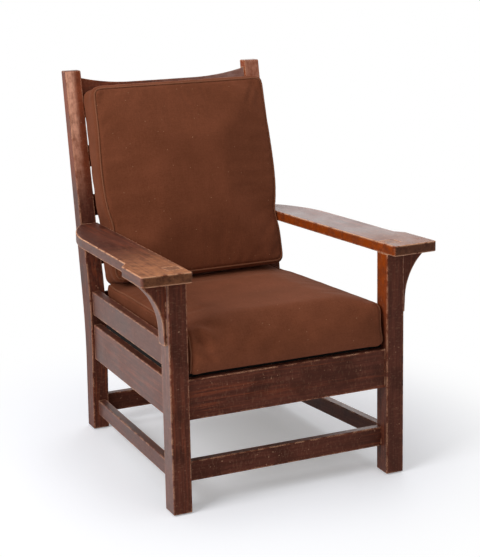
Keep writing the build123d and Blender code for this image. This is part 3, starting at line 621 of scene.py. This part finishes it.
def piping(name, body, seams, cover):
    """Piping sewn into seams: a cord wrapped in the cover's cloth, laid on the cover."""
    look = bpy.context.scene.armchair_wool
    surface = BVHTree.FromObject(cover, bpy.context.evaluated_depsgraph_get())
    curve = bpy.data.curves.new(name, "CURVE")
    curve.dimensions = "3D"
    curve.bevel_depth = look.piping
    curve.bevel_resolution = 3
    curve.use_fill_caps = True
    for seam in seams:
        laid = []
        for point in seam:
            spot, normal = surface.find_nearest(point)[:2]
            # A little under half of the cord is sunk in the cover
            laid.append(spot + normal * look.piping * 0.55)
        for _ in range(6):
            laid = [(before + point * 2 + after) / 4 for before, point, after in
                    zip(laid[-1:] + laid[:-1], laid, laid[1:] + laid[:1])]
        spline = curve.splines.new("POLY")
        spline.points.add(len(laid) - 1)
        for point, spot in zip(spline.points, laid):
            point.co = (*spot, 1)
        spline.use_cyclic_u = True
    drawn = add(name, curve)
    shape = evaluated(drawn)
    bpy.data.objects.remove(drawn)
    piece = add(name, shape)
    for face in shape.polygons:
        face.use_smooth = True
    shape.materials.clear()
    # The piping's wool is paler: partly worn nap and partly a painted highlight
    shape.materials.append(felted_wool("felted wool, piping", 0.15))
    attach(piece, body)


class ARMCHAIR_OT_oak(bpy.types.Operator):
    """Stains and wears the oak frame, and paints a sheen, a highlight and a reflection on it"""
    bl_idname = "armchair.oak"
    bl_label = "Stained oak frame"

    def execute(self, context):
        look = context.scene.armchair_oak
        tenon_top = Patch([("Z", 0.54, 0.57)], 0.5, "Z", look.rubbed)
        # The front posts' outer faces carry a painted sheen
        assign(oak("stained oak, front posts", "Z", warmth=1.0, faded=0.1, painted_sheen=0.35, wear=1.2,
                   rubbed=tenon_top),
               "front_post_left", "front_post_right", "corbel_left", "corbel_right")
        # The rear posts' front faces near the top: rubbed wood with a painted highlight over it, on
        # the left post's outer half and the right post's upper end
        outer_half = Patch([("Z", 0.6, 0.88), ("X", -0.266, -0.285)], 1.0, "Y", look.polish_and_highlight)
        upper_end = Patch([("Z", 0.8, 0.95)], 0.4, "Y", look.polish_and_highlight)
        for side, patch in (("left", outer_half), ("right", upper_end)):
            assign(oak(f"stained oak, {side} rear post", "Z", warmth=0.9, faded=0.8, wear=1.3,
                       shine=0.35, rubbed=patch),
                   f"rear_post_{side}")
        assign(oak("stained oak, cross rails", "X", wear=0.9),
               "front_rail", "rear_rail", "front_stretcher", "rear_stretcher")
        # A painted reflection: the crest rail's front turns paler grey towards the right, where its
        # gloss would mirror a lamp
        painted_reflection = Patch([("X", -0.2, 0.24)], 0.6, "Y", look.painted_sheen)
        assign(oak("stained oak, crest rail", "X", warmth=0.1, faded=0.3, wear=0.6, shine=0.9,
                   gloss=0.3, rubbed=painted_reflection),
               "crest_rail")
        assign(oak("stained oak, back slats", "X", warmth=0.1, wear=0.5),
               "back_slat_1", "back_slat_2", "back_slat_3", "back_slat_4")
        # The side rails' outer faces carry a painted sheen
        for side, sign in (("left", -1), ("right", 1)):
            assign(oak(f"stained oak, {side} side rails", "Y", turn=-3.2 * sign, painted_sheen=0.12,
                       wear=1.0, shine=0.6),
                   f"upper_side_rail_{side}", f"side_apron_{side}", f"side_stretcher_{side}")
        # The left arm's outer face carries a painted sheen
        left_front = Patch([("Y", -0.02, -0.42)], 0.75, "Z", look.rubbed)
        assign(oak("stained oak, left arm", "Y", turn=2.65, warmth=0.5, painted_sheen=0.2, wear=4.0,
                   shine=0.15, rubbed=left_front, eased=0.75),
               "arm_left")
        right_front = Patch([("Y", -0.1, -0.46)], 0.35, "Z", look.rubbed)
        assign(oak("stained oak, right arm", "Y", turn=-2.65, warmth=1.0, wear=3.5, shine=0.6,
                   rubbed=right_front, eased=0.75),
               "arm_right")
        return {"FINISHED"}


class ARMCHAIR_OT_seat_support(bpy.types.Operator):
    """Finishes the seat frame, its cleats, dowels, webbing, screws, and the foot glides"""
    bl_idname = "armchair.seat_support"
    bl_label = "Seat support and small parts"

    def execute(self, context):
        look = context.scene.armchair_seat_support
        assign(bare_wood("planed oak, across", look.stick, "X"),
               "seat_frame_front", "seat_frame_rear", "cleat_front", "cleat_rear")
        assign(bare_wood("planed oak, deep", look.stick, "Y"),
               "seat_frame_left", "seat_frame_right", "cleat_left", "cleat_right")
        assign(bare_wood("beech dowel", look.dowel, "Y", gloss=0.6), "arm_dowels", "frame_dowels")
        assign(woven("jute webbing", look.jute, 3.2 * MM, gap=0.4), "seat_webbing")
        assign(zinc_plate("zinc-plated steel", look.zinc), "screws")
        assign(moulded_nylon("moulded nylon", look.glide), "foot_glides")
        return {"FINISHED"}


class ARMCHAIR_OT_deck_cloth(bpy.types.Operator):
    """Stretches the black cambric over the webbing and down round the seat frame"""
    bl_idname = "armchair.deck_cloth"
    bl_label = "Deck cloth"

    def execute(self, context):
        look = context.scene.armchair_seat_support
        # The seat frame's outline on its right half in millimetres, notched round the posts
        half = ((281.2, 31.3), (281.2, 75.3), (300.8, 75.3),
                (270.7, 580.7), (252.2, 580.7), (252.2, 624.7))
        rim = [(x * MM, y * MM) for x, y in half]
        rim += [(-x, y) for x, y in reversed(rim)]
        top, skirt = 349.4 * MM, 23 * MM
        cloth = bmesh.new()
        face = cloth.faces.new([cloth.verts.new(CHAIR @ Vector((x, y, top))) for x, y in rim])
        area = face.calc_area() + face.calc_perimeter() * skirt
        edges = bmesh.ops.extrude_edge_only(cloth, edges=list(face.edges))
        bmesh.ops.translate(cloth, vec=UP * -skirt,
                            verts=[v for v in edges["geom"] if isinstance(v, bmesh.types.BMVert)])
        bmesh.ops.triangulate(cloth, faces=[face])
        bmesh.ops.recalc_face_normals(cloth, faces=cloth.faces)
        # The cloth's bend over the seat frame, between its flat top and its skirt
        bends = [edge for edge in cloth.edges if edge.calc_face_angle(0) > 0.7 and all(
            abs((CHAIR.inverted() @ vert.co).z - top) < MM for vert in edge.verts)]
        bmesh.ops.bevel(cloth, geom=bends, offset=1.2 * MM, segments=2, profile=0.5,
                        affect="EDGES", material=-1)
        mesh = bpy.data.meshes.new("deck_cloth")
        cloth.to_mesh(mesh)
        cloth.free()
        piece = add("deck_cloth", mesh)
        wall = piece.modifiers.new("cloth", "SOLIDIFY")
        wall.thickness = 0.6 * MM
        wall.offset = 0
        mesh.materials.append(woven("black cambric", look.cambric, 1.6 * MM, gap=0.5))
        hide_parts("seat_deck_cloth")
        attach(piece, "chair_frame")
        return {"FINISHED"}


class ARMCHAIR_OT_seat_cushion(bpy.types.Operator):
    """Stuffs and pipes the seat cushion, whose top rolls over its front edge"""
    bl_idname = "armchair.seat_cushion"
    bl_label = "Seat cushion"

    def execute(self, context):
        top = SEAT_BOXING

        def half_width(y):
            """Half the cushion's width, which narrows towards the rear."""
            return SEAT_HALVES[0] + (SEAT_HALVES[1] - SEAT_HALVES[0]) * y / SEAT_DEPTH

        def deflate(point):
            """Lowers the crown, which the filling raises again."""
            return Vector((point.x, point.y, min(point.z, top + (point.z - top) * DEFLATED)))

        def held(point):
            """Holds the bottom, which lies on the deck cloth."""
            return 1.0 if point.z < 3 * MM else 0.0

        def settle(point):
            """Keeps the cover off the deck and inside the rails and posts, and presses it down
            where the back cushion stands on it."""
            x, y, z = point
            limit = half_width(y) - 1.0 * MM
            # The crown, 22 mm high in front, comes down to 6 mm and dips by 5 mm below the back
            full, pressed = 22 * MM, 16 * MM
            share = clamped((y - 380 * MM) / (110 * MM))
            crown = full - pressed * share * share * (3 - 2 * share)
            dip = 5 * MM * bell((y - 525 * MM) / (38 * MM)) * (z > top * 0.8)
            rise = max(0, z - top)
            z = min(z, top) + min(rise, crown, rise * crown / full) - dip
            return Vector((max(-limit, min(limit, x)), max(-4 * MM, min(SEAT_DEPTH, y)),
                           max(0.4 * MM, z)))

        def side(sign):
            """A side's seam, as depth, height and inset from the side in millimetres: up the front
            corner, back along the top, down the rear corner, and forwards below."""
            depth, height = SEAT_DEPTH / MM, top / MM
            path = [(4, 12, 5), (4, height * 0.5, 5), (7, height * 0.75, 5),
                    (16, height * 0.93, 5), (30, height - 1, 5), (44, height, 5),
                    (depth - 30, height, 5), (depth - 12, height - 1, 6),
                    (depth - 5, height - 10, 6), (depth - 5, 10, 6), (depth - 12, 2, 6),
                    (depth - 30, 1, 5), (30, 1, 5), (12, 2, 6)]
            return filled_in([SEAT @ Vector((
                sign * (half_width(y * MM) - inset * MM), y * MM, z * MM)) for y, z, inset in path])

        seams = [side(-1), side(1)]
        cover = stuffed("seat_cushion_cover", "seat_cushion", SEAT, deflate, seams, held, settle)
        creased(cover, SEAT,
                ((-0.264, 0.018, 0.108), (-0.215, -0.004, 0.058), 13, 11),
                ((-0.268, 0, 0.07), (-0.2, -0.004, 0.03), 10, 8),
                ((-0.25, 0.04, 0.124), (-0.15, 0.012, 0.108), 14, 3.5),
                ((0.262, 0.05, 0.12), (0.215, 0.02, 0.09), 11, 2.5))
        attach(cover, "seat_cushion")
        piping("seat_cushion_piping", "seat_cushion", seams, cover)
        return {"FINISHED"}


class ARMCHAIR_OT_back_cushion(bpy.types.Operator):
    """Stuffs and pipes the back cushion, boxed all round"""
    bl_idname = "armchair.back_cushion"
    bl_label = "Back cushion"

    def execute(self, context):
        top = REST_BOXING

        def spread(point):
            """Widens the cushion in front of the posts, most at its belly, except where it sits
            between the arms."""
            waist = bell((point.y - 148 * MM) / (36 * MM))
            belly = bell((point.y - 290 * MM) / (100 * MM))
            ahead = clamped((point.z - 4 * MM) / (26 * MM))
            return 1 + (1 - waist) * (4 + (6 + 6 * belly) * ahead) * MM / REST_HALVES[0]

        def sag(point):
            """How far the cushion's foot hangs down: 7 mm at its rear, where it rests on the seat,
            1 mm in front, and nothing from 90 mm up."""
            share = clamped(point.z / top)
            return (7 - 6 * share) * MM * max(0, 1 - point.y / (90 * MM))

        def deflate(point):
            """Lowers both crowns, which the filling raises again."""
            rear, front = 0.45 * point.z, top + (point.z - top) * DEFLATED
            return Vector((point.x * spread(point), point.y - sag(point),
                           max(rear, min(point.z, front))))

        def held(point):
            """Holds nothing but the seams."""
            return 0.0

        def settle(point):
            """Keeps the cover off the slats and inside its CAD solid's space."""
            x, y, z = point
            limit = (REST_HALVES[0] + 3 * MM) * spread(point) + 2 * MM * (z > 20 * MM)
            crown = 12 * MM * max(0, 1 - (x / REST_HALVES[0]) ** 2)
            return Vector((max(-limit, min(limit, x)),
                           max(-1 * MM - sag(point), min(REST_HEIGHT + 4 * MM, y)),
                           max(-crown - 0.5 * MM, z)))

        seams = []
        for rise, half in zip((0, top), REST_HALVES):
            flat = rounded_panel(half, REST_HEIGHT, 4 * MM, REST_CORNER)
            flat = [Vector((x, y, rise)) for x, y in filled_in(flat, 12 * MM)]
            seams.append(filled_in([REST @ Vector((
                point.x * spread(point), point.y - sag(point), rise)) for point in flat]))
        cover = stuffed("back_cushion_cover", "back_cushion", REST, deflate, seams, held, settle)
        creased(cover, REST,
                ((-0.02, 0.53, 0.115), (0.03, 0.44, 0.124), 9, 2.2),
                ((0.06, 0.53, 0.115), (0.07, 0.47, 0.124), 8, 1.4),
                ((0.235, 0.53, 0.105), (0.19, 0.45, 0.122), 9, 2.6),
                ((0.1, 0.22, 0.125), (0.2, 0.23, 0.12), 10, 1.0))
        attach(cover, "back_cushion")
        piping("back_cushion_piping", "back_cushion", seams, cover)
        return {"FINISHED"}


def seen(tree):
    """Whether a ray comes from the camera or through a gloss or glass, which show the white."""
    rays = put(tree, "LightPath").outputs
    either = put(tree, "Math", {0: rays["Is Camera Ray"], 1: rays["Is Glossy Ray"]},
                 operation="MAXIMUM")
    return put(tree, "Math", {0: either, 1: rays["Is Transmission Ray"]}, operation="MAXIMUM")


class ARMCHAIR_OT_stage(bpy.types.Operator):
    """Sets up the floor, the lamps, the pale world and the camera"""
    bl_idname = "armchair.stage"
    bl_label = "Stage"

    def execute(self, context):
        look = context.scene.armchair_stage
        scene = context.scene
        scene.view_settings.view_transform = "Standard"

        disc = bmesh.new()
        bmesh.ops.create_circle(disc, cap_ends=True, segments=96, radius=14)
        mesh = bpy.data.meshes.new("floor")
        disc.to_mesh(mesh)
        disc.free()
        floor = add("floor", mesh)
        # Photographer's paper: white and quite matt, lit a little from below where it is seen,
        # and plain white further off
        made, tree = material("white paper floor")
        mesh.materials.append(made)
        shown = seen(tree)
        place = put(tree, "TexCoord").outputs["Object"]
        away = put(tree, "VectorMath", {0: place}, operation="LENGTH")
        far = put(tree, "MapRange", {"Value": away, "From Min": 0.45, "From Max": 1.0},
                  interpolation_type="SMOOTHSTEP")
        paper = put(tree, "BsdfDiffuse", {"Color": look.floor})
        lift = put(tree, "Math", {0: shown, 1: 0.26}, operation="MULTIPLY")
        near = put(tree, "AddShader", {0: paper, 1: put(tree, "Emission", {"Strength": lift})})
        white = put(tree, "Emission", {"Strength": 1.0})
        share = put(tree, "Math", {0: shown, 1: far}, operation="MULTIPLY")
        both = put(tree, "MixShader", {0: share, 1: near, 2: white})
        put(tree, "OutputMaterial", {"Surface": both})

        world = bpy.data.worlds.new("pale room")
        world.use_nodes = True
        world.node_tree.nodes.clear()
        scene.world = world
        tree = world.node_tree
        fill = put(tree, "MapRange", {"Value": seen(tree), "To Min": look.fill, "To Max": 1.0})
        sky = put(tree, "Background", {"Color": linear("#FFFFFF"), "Strength": fill})
        put(tree, "OutputWorld", {"Surface": sky})

        for name, spot, aim, size, watts in (
                ("top lamp", (0.3, 0.5, 2.9), (0, 0, 0.4), 2.4, look.top),
                ("side lamp", (-2.7, -0.9, 2.2), (0, 0, 0.6), 1.6, look.side),
                ("front lamp", (0.8, -3.2, 1.9), (0, 0, 0.8), 1.0, look.front),
                ("rear lamp", (1.9, 2.7, 1.5), (0.3, -0.1, 0.6), 1.3, look.rear)):
            lamp = bpy.data.lights.new(name, "AREA")
            lamp.shape = "SQUARE"
            lamp.size = size
            lamp.energy = watts
            holder = add(name, lamp)
            holder.location = spot
            holder.rotation_euler = (Vector(aim) - Vector(spot)).to_track_quat("-Z", "Y").to_euler()

        # The photograph's camera, solved from the corners of posts, rails and arms
        camera = add("camera", bpy.data.cameras.new("camera"))
        camera.data.lens = 101.0
        camera.data.clip_end = 100
        spot = Vector((-1.77428, -3.68851, 1.63770))
        right = Vector((0.89696, -0.44206, 0.00653))
        above = Vector((0.11582, 0.24921, 0.96150))
        ahead = Vector((0.42667, 0.86167, -0.27473))
        camera.matrix_world = Matrix.Translation(spot) @ Matrix(
            (right, above, -ahead)).transposed().to_4x4()
        scene.camera = camera
        return {"FINISHED"}


class ARMCHAIR_PT_pieces(bpy.types.Panel):
    """Lists the chair's pieces and their settings"""
    bl_idname = "ARMCHAIR_PT_pieces"
    bl_label = "Mission armchair"
    bl_space_type = "VIEW_3D"
    bl_region_type = "UI"
    bl_category = "Armchair"

    def draw(self, context):
        for operator in OPERATORS:
            self.layout.operator(operator.bl_idname)
        for group in GROUPS:
            box = self.layout.box()
            for name in GROUPS[group].__annotations__:
                box.prop(getattr(context.scene, group), name)


GROUPS = {
    "armchair_oak": ArmchairOak,
    "armchair_wool": ArmchairWool,
    "armchair_seat_support": ArmchairSeatSupport,
    "armchair_stage": ArmchairStage,
}
OPERATORS = (ARMCHAIR_OT_stage, ARMCHAIR_OT_oak, ARMCHAIR_OT_seat_support,
             ARMCHAIR_OT_deck_cloth, ARMCHAIR_OT_seat_cushion, ARMCHAIR_OT_back_cushion)


def register():
    for made in (*GROUPS.values(), *OPERATORS, ARMCHAIR_PT_pieces):
        bpy.utils.register_class(made)
    for name, group in GROUPS.items():
        setattr(bpy.types.Scene, name, bpy.props.PointerProperty(type=group))


def unregister():
    for name in GROUPS:
        delattr(bpy.types.Scene, name)
    for made in reversed((*GROUPS.values(), *OPERATORS, ARMCHAIR_PT_pieces)):
        bpy.utils.unregister_class(made)


def main():
    register()
    bpy.ops.armchair.stage()
    bpy.ops.armchair.oak()
    bpy.ops.armchair.seat_support()
    bpy.ops.armchair.deck_cloth()
    bpy.ops.armchair.seat_cushion()
    bpy.ops.armchair.back_cushion()


if __name__ == "__main__":
    main()
